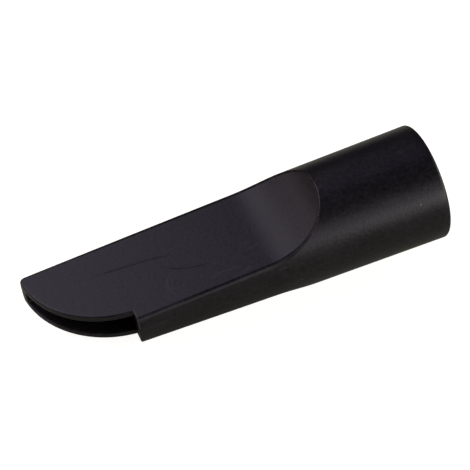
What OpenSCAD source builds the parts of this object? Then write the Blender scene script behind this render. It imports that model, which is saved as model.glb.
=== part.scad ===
// Flat vacuum nozzle: a round tapered socket that turns into a flat blade with a raked, curved mouth.
// Millimetres. The socket's axis is X, its mouth is at x = 0, and the blade's tip lies towards -X.
// The flat faces look up and down (Z), and the short side wall is at -Y.

/* [Socket] */
// Bore that takes the cleaner's tube
socket_d = 35; // [30:0.5:40]
// Depth of the bore, down to the ledge that stops the tube
socket_depth = 32; // [20:1:34]
// Wall of the socket at its mouth
socket_wall = 2; // [1.8:0.1:4]
// Width of the ledge that stops the tube
stop_w = 1; // [0.5:0.1:2]
// Rounding of the mouth's outer edge
rim_round = 1.1; // [0.4:0.1:1.2]

/* [Body] */
// Length from the socket's mouth to the tip
length = 135.5; // [120:0.5:200]
// Width that the tapered round form has come down to at the tip
tip_w = 34.6; // [28:0.2:38]
// Distance from the socket's mouth to where the flat faces begin
neck_l = 61.5; // [60:0.5:72]
// Radius of the hollow curve that leads from a flat face up to the round socket
scoop_r = 31; // [24:1:36]

/* [Blade] */
// Thickness across the two flat faces where they begin
root_t = 15.1; // [13:0.1:18]
// Thickness across the two flat faces at the tip
tip_t = 9; // [7.5:0.1:12]
// Wall of the faces and of the hollow curve
plate_t = 2.1; // [1.6:0.1:2.8]
// Width of the two side walls beside the mouth
side_w = 4.3; // [2.5:0.1:5]

/* [Mouth] */
// Radius of the curve that both plates are cut to
sweep_r = 31.2; // [28:0.2:38]
// Step from the end of that curve to the channel's side
sweep_step = 0.4; // [0.3:0.1:1.5]
// Distance from the tip at which the short side wall ends
notch_l = 28.4; // [22:0.2:34]
// Rounding of the tip's corner, seen from above
tip_round = 1.6; // [0.5:0.1:3]

/* [Hidden] */
$fn = 128;
// Overshoot of every cutting tool past the surface that it cuts
over = 1;
bore_r = socket_d / 2;
mouth_r = bore_r + socket_wall;
taper = (mouth_r - tip_w / 2) / length;
// Run of the mouth's rounding along the rim's face and along the tapered side
rim_run = rim_round / tan(45 - atan(taper) / 2);
notch_x = notch_l - length;
notch_r = mouth_r + taper * notch_x;
// Half width of the air channel where the short side wall ends
channel_half = notch_r - side_w;
// Slope of each flat face
face_angle = atan((root_t - tip_t) / 2 / (length - neck_l));
// The hollow curve dips this far under the flat face where they meet, so the two cross and don't just touch
dip = 0.02;
// Centre of the hollow curve
scoop_x = -neck_l - (scoop_r - dip) * sin(face_angle);
scoop_z = root_t / 2 + (scoop_r - dip) * cos(face_angle);
// Centre of the mouth's curve, which touches the tip and stays inside the channel's side
sweep_x = sweep_r - length;
sweep_y = sweep_r - channel_half + sweep_step;
// Tools reach this far past the part on every side
reach = length + mouth_r;

// Round tapered form, with the rounded edge at the socket's mouth
module tapered_round() {
    rotate([0, -90, 0])
        rotate_extrude() {
            polygon([
                [0, 0],
                [mouth_r - rim_run, 0],
                [mouth_r - taper * rim_run, rim_run],
                [tip_w / 2, length],
                [0, length]
            ]);
            translate([mouth_r - rim_run, rim_round])
                circle(rim_round);
        }
}

// Everything above one flat face and its hollow curve, set in by a wall where it shapes the inside
module above_face(wall_in = 0) {
    r = scoop_r + wall_in;
    rotate([90, 0, 0])
        linear_extrude(height = 2 * reach, center = true)
            translate([scoop_x, scoop_z]) {
                circle(r);
                rotate(face_angle)
                    translate([-reach, dip - r])
                        square([reach, r - dip]);
            }
}

// Both sides of the blade, which are alike
module above_both_faces(wall_in = 0) {
    above_face(wall_in);
    mirror([0, 0, 1])
        above_face(wall_in);
}

// Everything past the mouth's curve, up to the end of the short side wall
module past_mouth() {
    linear_extrude(height = 2 * reach, center = true)
        difference() {
            translate([notch_x - reach, -reach])
                square([reach, 2 * reach]);
            translate([sweep_x, sweep_y])
                circle(sweep_r);
        }
}

// Sharp corner at the tip, which is rounded away by an arc a little flatter than a quarter turn
module tip_corner() {
    flat_by = tip_round / 4;
    arc_centre = tip_round + flat_by;
    translate([-length, tip_w / 2, 0])
        linear_extrude(height = 2 * reach, center = true)
            difference() {
                translate([-over, -tip_round])
                    square(tip_round + over);
                translate([arc_centre, -arc_centre])
                    circle(norm([arc_centre, flat_by]));
            }
}

// Bore for the tube
module socket_bore() {
    translate([over, 0, 0])
        rotate([0, -90, 0])
            cylinder(h = socket_depth + over, r = bore_r);
}

// Air channel from the bore's ledge to the mouth, narrowing in width and in height
module air_channel() {
    entry_r = bore_r - stop_w;
    narrowing = (entry_r - channel_half) / (length - notch_l - socket_depth);
    channel_l = length + over - socket_depth;
    difference() {
        translate([over - socket_depth, 0, 0])
            rotate([0, -90, 0])
                cylinder(h = channel_l + over, r1 = entry_r + narrowing * over, r2 = entry_r - narrowing * channel_l);
        above_both_faces(plate_t);
    }
}

module nozzle_body() {
    color([0.20, 0.19, 0.21])
        difference() {
            tapered_round();
            above_both_faces();
            past_mouth();
            tip_corner();
            socket_bore();
            air_channel();
        }
}

nozzle_body();
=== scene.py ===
"""A flat vacuum nozzle in satin black plastic, on a white studio floor."""

from math import acos, asin, atan, atan2, cos, degrees, hypot, pi, radians, sin, sqrt, tan

import bmesh
import bpy
from mathutils import Matrix, Vector


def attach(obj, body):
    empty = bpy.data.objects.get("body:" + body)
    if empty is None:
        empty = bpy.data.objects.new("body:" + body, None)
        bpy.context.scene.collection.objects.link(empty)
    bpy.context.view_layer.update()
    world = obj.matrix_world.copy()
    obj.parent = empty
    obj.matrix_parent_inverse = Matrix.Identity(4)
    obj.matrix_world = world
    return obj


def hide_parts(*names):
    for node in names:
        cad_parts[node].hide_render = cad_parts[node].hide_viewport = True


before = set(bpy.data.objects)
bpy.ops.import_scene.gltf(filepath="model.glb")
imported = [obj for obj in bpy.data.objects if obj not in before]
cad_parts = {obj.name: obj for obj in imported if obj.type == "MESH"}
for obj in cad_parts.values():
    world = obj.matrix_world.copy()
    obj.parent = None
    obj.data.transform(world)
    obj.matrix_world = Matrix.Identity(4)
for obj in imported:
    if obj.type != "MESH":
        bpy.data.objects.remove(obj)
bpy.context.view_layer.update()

# Sizes in millimetres, as in the part's source. X is the socket's axis and Z looks out of the flat face.
MM = 0.001
LENGTH = 135.5
MOUTH_R = 19.5
TIP_R = 17.3
NECK_X = -61.5
ROOT_HALF = 7.55
TIP_HALF = 4.5
SCOOP_R = 31.0
PLATE = 2.1
BORE_R = 17.5
BORE_DEPTH = 32.0
LEDGE_R = 16.5
RIM_ROUND = 1.1
NOTCH_X = -107.1
SWEEP_R = 31.2
SWEEP_STEP = 0.4
SIDE_WALL = 4.3
TIP_ROUND = 1.6

TAPER = (MOUTH_R - TIP_R) / LENGTH
CHANNEL_HALF = MOUTH_R + TAPER * NOTCH_X - SIDE_WALL
CHANNEL_TAPER = (LEDGE_R - CHANNEL_HALF) / (-BORE_DEPTH - NOTCH_X)
FACE_SLOPE = atan((ROOT_HALF - TIP_HALF) / (LENGTH + NECK_X))
SCOOP_X = NECK_X - SCOOP_R * sin(FACE_SLOPE)
SCOOP_Z = ROOT_HALF + SCOOP_R * cos(FACE_SLOPE)
SWEEP_X = SWEEP_R - LENGTH
SWEEP_Y = SWEEP_R - CHANNEL_HALF + SWEEP_STEP

# Roundings that the eye sees along the edges
FACE_EDGE = 0.5
CHANNEL_EDGE = 0.5
MOUTH_EDGE = 0.55
LIP_EDGE = 0.25

# The plastic's finish
ROUGHNESS = 0.32
SHINE = 0.2

# Columns of the mesh round the upper half: side wall, its rounded edge, and the flat face between
SIDE_COLS = 20
EDGE_COLS = 5
NOTCH_COLS = 7
SWEEP_COLS = 34
CORNER_COLS = 6
TURN_COLS = 14
FACE_COLS = NOTCH_COLS + SWEEP_COLS + CORNER_COLS
COLS = 2 * (SIDE_COLS + EDGE_COLS) + FACE_COLS
SCOOP_ROWS = 26
BLADE_ROWS = 34
MOUTH_ROWS = 9


class Skin:
    """One skin of the moulding: the tapered round form, and the face and hollow curve that cut it."""

    def __init__(self, radius_at_mouth, taper, inside, edge):
        self.radius_at_mouth = radius_at_mouth
        self.taper = taper
        self.inside = inside
        self.edge = edge
        self.lean = sqrt(1 + taper * taper)

    def radius(self, x):
        return self.radius_at_mouth + self.taper * x

    def face_z(self, x, inset=0.0):
        return ROOT_HALF + tan(FACE_SLOPE) * (x - NECK_X) - (self.inside + inset) / cos(FACE_SLOPE)

    def arch_angle(self):
        """Turn of the hollow curve at which it meets the top of the round form."""
        tilt = atan(self.taper)
        drop = cos(tilt) * (SCOOP_Z - self.radius_at_mouth) - sin(tilt) * SCOOP_X
        return tilt + acos((drop + self.edge) / (SCOOP_R + self.inside + self.edge))

    def side_normal(self, y, z):
        r = hypot(y, z)
        return Vector((-self.taper, y / r, z / r)).normalized()

    def edge_centre(self, x, z):
        """Centre of the ball that rolls along the edge between side wall and face."""
        r = self.radius(x) - self.edge * self.lean
        return Vector((x, sqrt(max(r * r - z * z, 0.0)), z))

    def border(self, centre, face_normal, step, inset=0.0, side_x=None, crowding=1.0):
        """Point and normal number `step` from the middle height of the side wall up to the face, on the +Y side."""
        side_normal = self.side_normal(centre.y, centre.z)
        if step >= SIDE_COLS:
            normal = turned(side_normal, face_normal, (step - SIDE_COLS) / EDGE_COLS)
            return centre + (self.edge - inset) * normal, normal
        share = 1 - (1 - step / SIDE_COLS) ** crowding
        top = centre + (self.edge - inset) * side_normal
        x = top.x if side_x is None else side_x + (top.x - side_x) * share
        r = self.radius(x) - inset * self.lean
        angle = atan2(centre.z, centre.y) * share
        return Vector((x, r * cos(angle), r * sin(angle))), self.side_normal(cos(angle), sin(angle))

    def blade_border(self, x, step, inset=0.0):
        """The same on the flat blade, at one place along it."""
        centre = self.edge_centre(x, self.face_z(x, self.edge))
        face_normal = Vector((-sin(FACE_SLOPE), 0, cos(FACE_SLOPE)))
        point, normal = self.border(centre, face_normal, step, inset)
        return Vector((x, point.y, point.z)), normal


def turned(start, end, share):
    """A normal between two others, at an even turn."""
    angle = start.angle(end, 0.0)
    if angle < 1e-4:
        return start.copy()
    return (sin((1 - share) * angle) * start + sin(share * angle) * end) / sin(angle)


OUTSIDE = Skin(MOUTH_R, TAPER, 0.0, FACE_EDGE)
CHANNEL = Skin(LEDGE_R + CHANNEL_TAPER * BORE_DEPTH, CHANNEL_TAPER, PLATE, CHANNEL_EDGE)

SWEEP_START = asin((SWEEP_X - NOTCH_X) / SWEEP_R)
NOTCH_CORNER_Y = SWEEP_Y - SWEEP_R * cos(SWEEP_START)


def tip_corner(z):
    """Centre of the tip's rounded corner at one height, and how far the mouth's curve has turned there."""
    y = sqrt(TIP_R * TIP_R - z * z) + TAPER * TIP_ROUND - TIP_ROUND
    across = SWEEP_Y - y
    x = SWEEP_X - sqrt((SWEEP_R - TIP_ROUND) ** 2 - across * across)
    return x, y, atan2(SWEEP_X - x, across)


def mouth_plan(along, z, inset=0.0):
    """Point of the mouth's cut in plan, and its outward normal. `along` is measured from the notch's corner."""
    if along < 0:
        return Vector((NOTCH_X + inset, NOTCH_CORNER_Y + along, z)), Vector((-1, 0, 0))
    corner_x, corner_y, turn_end = tip_corner(z)
    turn = SWEEP_START + along / SWEEP_R
    if turn <= turn_end:
        normal = Vector((-sin(turn), -cos(turn), 0))
        centre = Vector((SWEEP_X, SWEEP_Y, z))
        if along == 0:
            normal = (normal + Vector((-1, 0, 0))) / (1 + sin(turn))
            point = Vector((NOTCH_X, NOTCH_CORNER_Y, z))
            return point - inset * normal, normal
        return centre + (SWEEP_R - inset) * normal, normal
    turn = turn_end + (along - SWEEP_R * (turn_end - SWEEP_START)) / TIP_ROUND
    normal = Vector((-sin(turn), -cos(turn), 0))
    return Vector((corner_x, corner_y, z)) + (TIP_ROUND - inset) * normal, normal


def along_at(y, z, inset=0.0):
    """The way back: how far along the cut a point of the far side lies."""
    corner_x, corner_y, turn_end = tip_corner(z)
    sweep_end = SWEEP_R * (turn_end - SWEEP_START)
    touch_y = SWEEP_Y - (SWEEP_R - inset) * cos(turn_end)
    if y <= touch_y:
        return SWEEP_R * (acos((SWEEP_Y - y) / (SWEEP_R - inset)) - SWEEP_START)
    lift = min((y - corner_y) / (TIP_ROUND - inset), 1.0)
    return sweep_end + TIP_ROUND * (pi / 2 + asin(lift) - turn_end)


def mouth_border(skin, inset_cut, inset_skin):
    """Where the cut meets a skin, both set in: for each column its distance along the cut, its point and two normals."""
    found = []
    face_normal = Vector((-sin(FACE_SLOPE), 0, cos(FACE_SLOPE)))
    for col in range(SIDE_COLS + EDGE_COLS + 1):
        point, normal = skin.blade_border(NOTCH_X + inset_cut, col, inset_skin)
        along = min(-point.y - NOTCH_CORNER_Y, -1e-3)
        found.append((along, point.z, Vector((normal.x, -normal.y, normal.z))))
    far = []
    for col in range(SIDE_COLS + EDGE_COLS + 1):
        x = TIP_ROUND - LENGTH
        for _ in range(3):
            point, normal = skin.blade_border(x, col, inset_skin)
            along = along_at(point.y, point.z, inset_cut)
            x = mouth_plan(along, point.z, inset_cut)[0].x
        far.append((along, point.z, normal))
    near_along = found[-1][0]
    far_along = far[-1][0]
    corner_x, corner_y, turn_end = tip_corner(TIP_HALF)
    sweep_end = min(SWEEP_R * (turn_end - SWEEP_START), far_along * (1 - CORNER_COLS / FACE_COLS))
    for col in range(1, FACE_COLS):
        if col <= NOTCH_COLS:
            along = near_along * (1 - col / NOTCH_COLS)
        elif col <= NOTCH_COLS + SWEEP_COLS:
            along = sweep_end * (col - NOTCH_COLS) / SWEEP_COLS
        else:
            along = sweep_end + (far_along - sweep_end) * (col - NOTCH_COLS - SWEEP_COLS) / CORNER_COLS
        x = mouth_plan(along, TIP_HALF, inset_cut)[0].x
        found.append((along, skin.face_z(x, inset_skin), face_normal))
    found.extend(reversed(far))
    border = []
    for along, z, skin_normal in found:
        point, cut_normal = mouth_plan(along, z, inset_cut)
        border.append((along, point, cut_normal, skin_normal))
    return border


def mouth_edge_rows(skin, radius, sign, steps):
    """Rows of the rounded edge between a skin and the mouth's cut, from the skin to the cut."""
    border = mouth_border(skin, radius, sign * radius)
    rows = []
    for step in range(steps + 1):
        row = []
        for along, point, cut_normal, skin_normal in border:
            plain = cut_normal.normalized()
            facing = sign * skin_normal
            angle = plain.angle(facing, 0.0)
            if angle < 0.02:
                row.append(point + radius * facing)
                continue
            share = step / steps
            to_cut = sin(share * angle) / sin(angle)
            to_skin = sin((1 - share) * angle) / sin(angle)
            row.append(point + radius * (to_cut * cut_normal + to_skin * facing))
        rows.append(row)
    return rows, border


def face_shares():
    """How the columns spread across the flat face, closer together where they lead to the notch."""
    shares = []
    for col in range(1, FACE_COLS):
        if col <= NOTCH_COLS:
            shares.append(0.12 * col / NOTCH_COLS)
        else:
            shares.append(0.12 + 0.88 * (col - NOTCH_COLS) / (FACE_COLS - NOTCH_COLS))
    return shares


def scoop_row(skin, share, start_x, ring_x):
    """Row across the hollow curve, from where it leaves the flat face (0) to the top of its arch (1)."""
    angle = FACE_SLOPE + (skin.arch_angle() - FACE_SLOPE) * (1 - (1 - share) ** 2)
    reach = SCOOP_R + skin.inside + skin.edge
    centre = skin.edge_centre(SCOOP_X + reach * sin(angle), SCOOP_Z - reach * cos(angle))
    if share == 1:
        centre.y = 0.0
    face_normal = Vector((-sin(angle), 0, cos(angle)))
    side_x = start_x + (ring_x - start_x) * share
    near, far = [], []
    for col in range(SIDE_COLS + EDGE_COLS + 1):
        point, _ = skin.border(centre, face_normal, col, 0.0, side_x, 1 + 0.6 * sin(pi * share))
        far.append(point)
        near.append(Vector((point.x, -point.y, point.z)))
    edge = far[-1]
    middle = [Vector((edge.x, edge.y * (2 * spot - 1), edge.z)) for spot in face_shares()]
    return near + middle + far[::-1]


def skin_rows(skin, mouth_row, border):
    """Rows of one skin from the mouth to the arch, and where along X the plain round form takes over."""
    start_x = SCOOP_X + (SCOOP_R + skin.inside + skin.edge) * sin(FACE_SLOPE)
    arch = skin.arch_angle()
    ring_x = SCOOP_X + (SCOOP_R + skin.inside + skin.edge) * sin(arch) - skin.edge * sin(atan(skin.taper))
    scoop = [scoop_row(skin, row / SCOOP_ROWS, start_x, ring_x) for row in range(SCOOP_ROWS + 1)]
    rows = []
    for row in range(1, BLADE_ROWS):
        points = []
        for col, start in enumerate(mouth_row):
            end = scoop[0][col]
            low_step = min(col, COLS - col)
            before_corner = COLS - SIDE_COLS - EDGE_COLS - CORNER_COLS - col
            inward = Vector((1, 0, 0))
            if low_step > SIDE_COLS + EDGE_COLS and before_corner > 0:
                inward = inward.lerp(-border[col][2], min(before_corner / TURN_COLS, 1.0)).normalized()
            first = start + 0.5 * inward
            second = start + 2.2 * inward
            if row == 1:
                spot = first
            else:
                share = (row - 2) / (BLADE_ROWS - 2)
                spot = second + (end - second) * share
            if low_step <= SIDE_COLS + EDGE_COLS:
                point, _ = skin.blade_border(spot.x, low_step)
                if col < COLS / 2:
                    point.y = -point.y
                points.append(point)
            else:
                points.append(Vector((spot.x, spot.y, skin.face_z(spot.x))))
        rows.append(points)
    return rows + scoop, ring_x


def grid_of(mesh, rows, mouth_edge):
    """A grid whose every vertex goes to its place in the rows. The outer edges, `mouth_edge` and up, are marked for
    worn edges and for the painted highlight on the upper cut edge. The notch's rounded edge is marked for a painted
    highlight.
    """
    side_edge = mesh.verts.layers.float.new("side_edge")
    cut_edge = mesh.verts.layers.float.new("cut_edge")
    notch_edge_highlight = mesh.verts.layers.float.new("notch_edge_highlight")
    last_row, last_col = len(rows) - 1, len(rows[0]) - 1
    grid = bmesh.ops.create_grid(mesh, x_segments=last_col, y_segments=last_row, size=1)
    for vert in grid["verts"]:
        col = round((vert.co.x + 1) / 2 * last_col)
        row = round((vert.co.y + 1) / 2 * last_row)
        vert.co = rows[row][col]
        on_cut = mouth_edge[0] < row < mouth_edge[1]
        vert[cut_edge] = 1.0 if on_cut else 0.0
        vert[notch_edge_highlight] = 1.0 if on_cut and col < SIDE_COLS + EDGE_COLS else 0.0
        low_col = min(col, last_col - col)
        if 0 < row <= mouth_edge[0] and SIDE_COLS - 2 < low_col <= SIDE_COLS + EDGE_COLS:
            vert[side_edge] = 1.0 if low_col >= SIDE_COLS else 0.5


def socket_profile(outer_ring_x, inner_ring_x):
    """Half section of the round socket, from the outer arch over the rim and down the bore to the channel."""
    line = []
    tilt = atan(TAPER)
    rim_run = RIM_ROUND / tan(pi / 4 - tilt / 2)
    start = outer_ring_x
    stop = -rim_run
    for step in range(17):
        x = start + (stop - start) * step / 16
        line.append((x, OUTSIDE.radius(x)))
    for step in range(1, 7):
        angle = pi / 2 + tilt - (pi / 2 + tilt) * step / 6
        line.append((-RIM_ROUND + RIM_ROUND * sin(pi / 2 - angle), MOUTH_R - rim_run + RIM_ROUND * sin(angle)))
    for step in range(5):
        angle = pi / 2 * step / 4
        line.append((-0.35 + 0.35 * cos(angle), BORE_R + 0.35 - 0.35 * sin(angle)))
    for step in range(1, 9):
        line.append((-0.35 - (BORE_DEPTH - 0.55) * step / 8, BORE_R))
    line.append((-BORE_DEPTH, BORE_R - 0.2))
    line.append((-BORE_DEPTH, LEDGE_R + 0.15))
    line.append((-BORE_DEPTH - 0.15, LEDGE_R))
    for step in range(1, 4):
        x = -BORE_DEPTH + (inner_ring_x + BORE_DEPTH) * step / 3
        line.append((x, CHANNEL.radius(x)))
    return line


def build_nozzle():
    """The whole moulding: its upper half as one grid and one half turn, then mirrored."""
    outer_rows, outer_border = mouth_edge_rows(OUTSIDE, MOUTH_EDGE, 1, 7)
    lip_rows, lip_border = mouth_edge_rows(CHANNEL, LIP_EDGE, -1, 3)
    blade, outer_ring_x = skin_rows(OUTSIDE, outer_rows[0], outer_border)
    channel, inner_ring_x = skin_rows(CHANNEL, lip_rows[0], lip_border)
    cut_rows = []
    for row in range(1, MOUTH_ROWS):
        share = (row / MOUTH_ROWS) ** 1.6
        points = []
        for outer, inner in zip(zip(outer_border, outer_rows[-1]), zip(lip_border, lip_rows[-1])):
            along = outer[0][0] + (inner[0][0] - outer[0][0]) * share
            z = outer[1].z + (inner[1].z - outer[1].z) * share
            points.append(mouth_plan(along, z)[0])
        cut_rows.append(points)
    rows = blade[::-1] + outer_rows + cut_rows + lip_rows[::-1] + channel

    mesh = bmesh.new()
    grid_of(mesh, rows, (len(blade), len(blade) + len(outer_rows) - 1))
    line = [mesh.verts.new((x, -r, 0)) for x, r in socket_profile(outer_ring_x, inner_ring_x)]
    edges = [mesh.edges.new(pair) for pair in zip(line, line[1:])]
    bmesh.ops.spin(mesh, geom=line + edges, cent=(0, 0, 0), axis=(-1, 0, 0), angle=pi,
                   steps=2 * SIDE_COLS, use_merge=False)
    bmesh.ops.remove_doubles(mesh, verts=mesh.verts, dist=0.002)
    bmesh.ops.mirror(mesh, geom=mesh.verts[:] + mesh.edges[:] + mesh.faces[:], matrix=Matrix(),
                     merge_dist=0.002, axis="Z")
    bmesh.ops.remove_doubles(mesh, verts=mesh.verts, dist=0.002)
    bmesh.ops.dissolve_degenerate(mesh, edges=mesh.edges, dist=0.0005)
    bmesh.ops.recalc_face_normals(mesh, faces=mesh.faces)
    bmesh.ops.scale(mesh, vec=(MM, MM, MM), verts=mesh.verts)
    data = bpy.data.meshes.new("nozzle_shell")
    mesh.to_mesh(data)
    mesh.free()
    data.shade_smooth()
    shell = bpy.data.objects.new("nozzle_shell", data)
    bpy.context.scene.collection.objects.link(shell)
    return shell


def add(tree, kind, inputs=None, **settings):
    """A shader node with its settings, and its inputs as values or as sockets to link from."""
    node = tree.nodes.new("ShaderNode" + kind)
    for name, value in settings.items():
        setattr(node, name, value)
    for name, value in (inputs or {}).items():
        if isinstance(value, bpy.types.NodeSocket):
            tree.links.new(value, node.inputs[name])
        else:
            node.inputs[name].default_value = value
    return node


def maths(tree, operation, *values, clamp=False):
    """One step of arithmetic."""
    return add(tree, "Math", dict(enumerate(values)), operation=operation, use_clamp=clamp).outputs[0]


def noise(tree, place, scale, detail=2.0, roughness=0.5):
    wanted = {"Vector": place, "Scale": scale, "Detail": detail, "Roughness": roughness}
    return add(tree, "TexNoise", wanted).outputs["Fac"]


def near_line(tree, distance, width):
    """1 on a line and 0 beyond its width, from the distance to it."""
    away = maths(tree, "ABSOLUTE", distance)
    return add(tree, "MapRange", {"Value": away, "From Min": 0.0, "From Max": width, "To Min": 1.0, "To Max": 0.0},
               interpolation_type="SMOOTHSTEP").outputs[0]


def arc_mark(tree, place, centre, radius, width, middle, reach):
    """A thin arc-shaped scratch on the upper face: part of a circle, faded out away from its middle."""
    flat = add(tree, "VectorMath", {0: place, 1: (1, 1, 0)}, operation="MULTIPLY").outputs[0]
    out = add(tree, "VectorMath", {0: flat, 1: (centre[0] * MM, centre[1] * MM, 0)}, operation="DISTANCE")
    line = near_line(tree, maths(tree, "SUBTRACT", out.outputs["Value"], radius * MM), width * MM)
    spot = add(tree, "VectorMath", {0: flat, 1: (middle[0] * MM, middle[1] * MM, 0)}, operation="DISTANCE")
    fade = add(tree, "MapRange", {"Value": spot.outputs["Value"], "From Min": 0.5 * reach * MM,
                                  "From Max": reach * MM, "To Min": 1.0, "To Max": 0.0}).outputs[0]
    return maths(tree, "MULTIPLY", line, fade)


def nick(tree, place, centre, size, stretch=1.0):
    """A small rubbed spot: 1 at its centre, 0 beyond its size, drawn out along the nozzle."""
    away = add(tree, "VectorMath", {0: place, 1: [part * MM for part in centre]}, operation="SUBTRACT").outputs[0]
    away = add(tree, "VectorMath", {0: away, 1: (1 / stretch, 1, 1)}, operation="MULTIPLY").outputs[0]
    away = add(tree, "VectorMath", {0: away}, operation="LENGTH").outputs["Value"]
    return near_line(tree, away, size * MM)


def satin_black():
    """Satin black moulded plastic: fine grain, faint scuffs along it, a few scratches, the mould's parting line, rubbed
    pale edges, and painted highlights along the upper cut edge and the notch's edge.
    """
    finish = bpy.data.materials.new("satin_black_plastic")
    finish.use_nodes = True
    tree = finish.node_tree
    shader = tree.nodes["Principled BSDF"]
    place = add(tree, "TexCoord").outputs["Object"]
    parts = add(tree, "SeparateXYZ", {"Vector": place})

    grain = noise(tree, place, 2400, 2.0, 0.6)
    mottle = noise(tree, place, 900, 2.0, 0.6)
    cloud = noise(tree, place, 48, 2.0, 0.5)
    drawn = add(tree, "Mapping", {"Vector": place, "Scale": (110, 1300, 1300), "Rotation": (0, radians(7), radians(9))})
    streak = noise(tree, drawn.outputs[0], 1.0, 2.0, 0.6)
    streak = add(tree, "MapRange", {"Value": streak, "From Min": 0.54, "From Max": 0.70}).outputs[0]
    worn = add(tree, "MapRange", {"Value": noise(tree, place, 90, 3.0, 0.6), "From Min": 0.48, "From Max": 0.66}).outputs[0]
    scuff = maths(tree, "MULTIPLY", streak, worn)

    above = maths(tree, "GREATER_THAN", parts.outputs["Z"], 0.002)
    long_scratch = arc_mark(tree, place, (-122.4, -170.3), 176.5, 0.45, (-100, 4.8), 16)
    sagging_scratch = arc_mark(tree, place, (-77.7, 15.2), 21.4, 0.45, (-85, -4.8), 9)
    marks = maths(tree, "MULTIPLY", maths(tree, "ADD", long_scratch, sagging_scratch, clamp=True), above)
    round_rub = arc_mark(tree, place, (-88.0, -9.5), 5.7, 0.5, (-93.7, -9), 6.5)
    short_rub = arc_mark(tree, place, (-75.5, -40), 28.3, 0.6, (-75, -11.7), 6)
    rubbed = maths(tree, "MULTIPLY", maths(tree, "ADD", round_rub, short_rub, clamp=True), above)
    speck = nick(tree, place, (-9.5, -16.65, 9.8), 0.55)
    chip = nick(tree, place, (-52.3, -18.5, -2.2), 0.5, 1.6)
    smudge = maths(tree, "MULTIPLY", nick(tree, place, (-37, -2.4, 18.8), 1.6, 2.6), worn)
    parting = near_line(tree, maths(tree, "SUBTRACT", parts.outputs["Z"], 0.8 * MM), 0.3 * MM)
    side_edge = add(tree, "Attribute", attribute_name="side_edge").outputs["Fac"]
    cut_edge = add(tree, "Attribute", attribute_name="cut_edge").outputs["Fac"]
    cut_edge = maths(tree, "MULTIPLY", cut_edge, above)
    notch_edge_highlight = add(tree, "Attribute", attribute_name="notch_edge_highlight").outputs["Fac"]
    notch_edge_highlight = maths(tree, "MULTIPLY", notch_edge_highlight, above)
    # Rubbed pale edges. On the mouth's cut edge they are kept to the upper half, so there the pale edge is also a
    # painted highlight beside the darker lower cut edge.
    edge_wear_and_highlight = maths(tree, "MULTIPLY", maths(tree, "MAXIMUM", side_edge, cut_edge), worn)

    tone = maths(tree, "MULTIPLY_ADD", mottle, 0.75, maths(tree, "MULTIPLY", cloud, 0.25))
    tone = add(tree, "MapRange", {"Value": tone, "From Min": 0.36, "From Max": 0.64})
    colour = add(tree, "Mix", {"Factor": tone.outputs[0]}, data_type="RGBA")
    colour.inputs["A"].default_value = (0.0026, 0.0025, 0.0026, 1)
    colour.inputs["B"].default_value = (0.0084, 0.0077, 0.0092, 1)
    pale = maths(tree, "MULTIPLY", maths(tree, "MAXIMUM", maths(tree, "MULTIPLY", scuff, 1.3), edge_wear_and_highlight), 0.7)
    pale = maths(tree, "MULTIPLY_ADD", rubbed, 0.8, pale)
    # Painted highlight: the notch's upper rounded edge is painted pale all along.
    pale = maths(tree, "MULTIPLY_ADD", notch_edge_highlight, 1.3, pale)
    pale = maths(tree, "MULTIPLY_ADD", speck, 6.0, pale)
    pale = maths(tree, "MULTIPLY_ADD", chip, 2.0, pale)
    pale = maths(tree, "MULTIPLY_ADD", smudge, 1.2, pale)
    paler = add(tree, "Mix", {"Factor": pale}, data_type="RGBA", clamp_factor=False)
    tree.links.new(colour.outputs["Result"], paler.inputs["A"])
    paler.inputs["B"].default_value = (0.018, 0.0175, 0.018, 1)
    tree.links.new(paler.outputs["Result"], shader.inputs["Base Color"])

    gloss = maths(tree, "MULTIPLY_ADD", mottle, 0.10, ROUGHNESS - 0.05)
    gloss = maths(tree, "MULTIPLY_ADD", cloud, 0.06, gloss)
    gloss = maths(tree, "MULTIPLY_ADD", scuff, 0.10, gloss)
    gloss = maths(tree, "MULTIPLY_ADD", marks, 0.14, gloss)
    gloss = maths(tree, "MULTIPLY_ADD", maths(tree, "MAXIMUM", side_edge, cut_edge), -0.13, gloss)
    tree.links.new(gloss, shader.inputs["Roughness"])
    shader.inputs["Specular IOR Level"].default_value = SHINE

    height = maths(tree, "MULTIPLY", grain, 4e-6)
    height = maths(tree, "MULTIPLY_ADD", mottle, 5e-5, height)
    height = maths(tree, "MULTIPLY_ADD", scuff, 1.6e-5, height)
    height = maths(tree, "MULTIPLY_ADD", marks, -6e-5, height)
    height = maths(tree, "MULTIPLY_ADD", side_edge, -2.2e-4, height)
    height = maths(tree, "MULTIPLY_ADD", parting, -3e-5, height)
    bump = add(tree, "Bump", {"Strength": 1.0, "Distance": 1.0, "Height": height})
    tree.links.new(bump.outputs[0], shader.inputs["Normal"])
    return finish


# Studio directions: the nozzle rests on its rim and its tip, so the floor leans a little in its frame
EYE = Vector((-183.9, -403.3, 487.3)) * MM
LOOK = Vector((0.1834, 0.6327, -0.7523)).normalized()
UP = Vector((0.114, 0.034, 1)).normalized()
AHEAD = (LOOK - LOOK.dot(UP) * UP).normalized()
RIGHT = AHEAD.cross(UP)
MIDDLE = Vector((-68, 0, 0)) * MM

# What the floor adds to its lit colour where it is looked at directly, and where a glossy surface mirrors it
FLOOR_GLOW = 0.88
FLOOR_MIRRORED = 0.04


def toward(across, above):
    """Direction in the studio: degrees to the right of straight ahead, and above the floor."""
    a, e = radians(across), radians(above)
    return cos(e) * (cos(a) * AHEAD + sin(a) * RIGHT) + sin(e) * UP


def set_camera():
    camera = bpy.data.objects.new("camera", bpy.data.cameras.new("camera"))
    camera.data.sensor_width = 36
    camera.data.lens = 153.2
    camera.data.clip_end = 100
    back = -LOOK
    side = LOOK.cross(UP).normalized()
    camera.matrix_world = Matrix((side, back.cross(side), back)).transposed().to_4x4()
    camera.location = EYE
    bpy.context.scene.collection.objects.link(camera)
    bpy.context.scene.camera = camera


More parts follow.
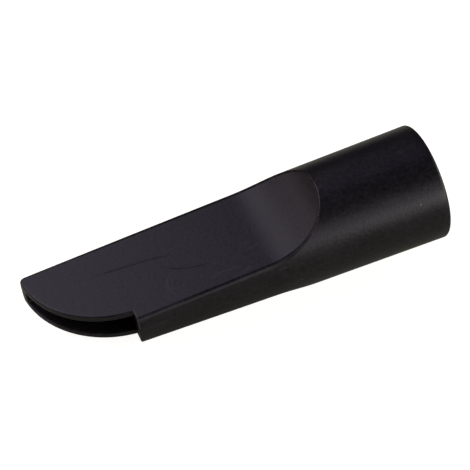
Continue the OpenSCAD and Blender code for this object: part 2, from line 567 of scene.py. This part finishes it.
def softbox(name, across, above, width, height, radiance, tint=(1, 1, 1), distance=1.3):
    """A flat lamp that faces the nozzle. Its power follows from the brightness that its surface shows."""
    lamp = bpy.data.lights.new(name, "AREA")
    lamp.shape = "RECTANGLE"
    lamp.size = 2 * distance * tan(radians(width / 2))
    lamp.size_y = 2 * distance * tan(radians(height / 2))
    lamp.energy = radiance * pi * lamp.size * lamp.size_y
    lamp.color = tint
    holder = bpy.data.objects.new(name, lamp)
    back = toward(across, above)
    side = UP.cross(back).normalized()
    holder.matrix_world = Matrix((side, back.cross(side), back)).transposed().to_4x4()
    holder.location = MIDDLE + distance * back
    holder.visible_camera = False
    bpy.context.scene.collection.objects.link(holder)


def set_floor(shell):
    """A wide white floor under the nozzle's lowest points."""
    lowest = min(vert.co.dot(UP) for vert in shell.data.vertices)
    mesh = bmesh.new()
    bmesh.ops.create_circle(mesh, cap_ends=True, segments=96, radius=30)
    side = Vector((1, 0, 0))
    side = (side - side.dot(UP) * UP).normalized()
    turn = Matrix((side, UP.cross(side), UP)).transposed().to_4x4()
    bmesh.ops.transform(mesh, matrix=Matrix.Translation(UP * lowest) @ turn, verts=mesh.verts)
    data = bpy.data.meshes.new("studio_floor")
    mesh.to_mesh(data)
    mesh.free()
    floor = bpy.data.objects.new("studio_floor", data)
    bpy.context.scene.collection.objects.link(floor)
    paper = bpy.data.materials.new("white_paper")
    paper.use_nodes = True
    nodes, links = paper.node_tree.nodes, paper.node_tree.links
    nodes.clear()
    out = nodes.new("ShaderNodeOutputMaterial")
    diffuse = nodes.new("ShaderNodeBsdfDiffuse")
    diffuse.inputs["Color"].default_value = (0.45, 0.46, 0.35, 1)
    glow = nodes.new("ShaderNodeEmission")
    rays = nodes.new("ShaderNodeLightPath")
    looked_at = nodes.new("ShaderNodeMath")
    looked_at.operation = "MAXIMUM"
    full = nodes.new("ShaderNodeMath")
    full.operation = "MULTIPLY"
    full.inputs[1].default_value = FLOOR_GLOW
    mirrored = nodes.new("ShaderNodeMath")
    mirrored.operation = "MULTIPLY_ADD"
    mirrored.inputs[1].default_value = FLOOR_MIRRORED
    both = nodes.new("ShaderNodeAddShader")
    links.new(rays.outputs["Is Camera Ray"], looked_at.inputs[0])
    links.new(rays.outputs["Is Transmission Ray"], looked_at.inputs[1])
    links.new(looked_at.outputs[0], full.inputs[0])
    links.new(rays.outputs["Is Glossy Ray"], mirrored.inputs[0])
    links.new(full.outputs[0], mirrored.inputs[2])
    links.new(mirrored.outputs[0], glow.inputs["Strength"])
    links.new(diffuse.outputs[0], both.inputs[0])
    links.new(glow.outputs[0], both.inputs[1])
    links.new(both.outputs[0], out.inputs["Surface"])
    data.materials.append(paper)


def set_world():
    """A dark studio above, with a pale band along the horizon behind the floor."""
    world = bpy.data.worlds.new("studio")
    world.use_nodes = True
    nodes, links = world.node_tree.nodes, world.node_tree.links
    sky = nodes["Background"]
    place = nodes.new("ShaderNodeTexCoord")
    height = nodes.new("ShaderNodeVectorMath")
    height.operation = "DOT_PRODUCT"
    height.inputs[1].default_value = UP
    ramp = nodes.new("ShaderNodeValToRGB")
    steps = ramp.color_ramp
    steps.elements[0].position = 0.0
    steps.elements[0].color = (0.08, 0.08, 0.08, 1)
    steps.elements[1].position = 0.16
    steps.elements[1].color = (0.02, 0.019, 0.022, 1)
    links.new(place.outputs["Generated"], height.inputs[0])
    links.new(height.outputs["Value"], ramp.inputs[0])
    links.new(ramp.outputs[0], sky.inputs["Color"])
    bpy.context.scene.world = world


set_camera()
nozzle_shell = build_nozzle()
nozzle_shell.data.materials.append(satin_black())
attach(nozzle_shell, "root")
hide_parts("nozzle_body")

set_floor(nozzle_shell)
set_world()
softbox("left_window", -60, 55, 44, 30, 1.83, (0.92, 0.80, 1.28))
softbox("left_key", -52, 52, 22, 20, 1.1, (1.16, 1.16, 0.68))
softbox("left_wall", -92, 36, 40, 26, 3.2, (1.06, 0.94, 1.0))
softbox("left_low", -75, 15, 50, 14, 0.80, (1.13, 0.88, 0.92))
softbox("ahead", -28, 40, 20, 18, 1.5, (1.04, 0.9, 1.05))
softbox("overhead", -20, 78, 30, 16, 0.62, (0.87, 0.73, 1.4))
softbox("back_low", 122, 8, 40, 22, 6.2, (1.04, 0.96, 1.0))
softbox("back_high", 152, 22, 44, 32, 1.65, (1.03, 0.92, 1.05))
softbox("right_low", 84, 18, 50, 40, 3.5, (1.03, 1.02, 0.94))
bpy.context.scene.view_settings.view_transform = "Standard"
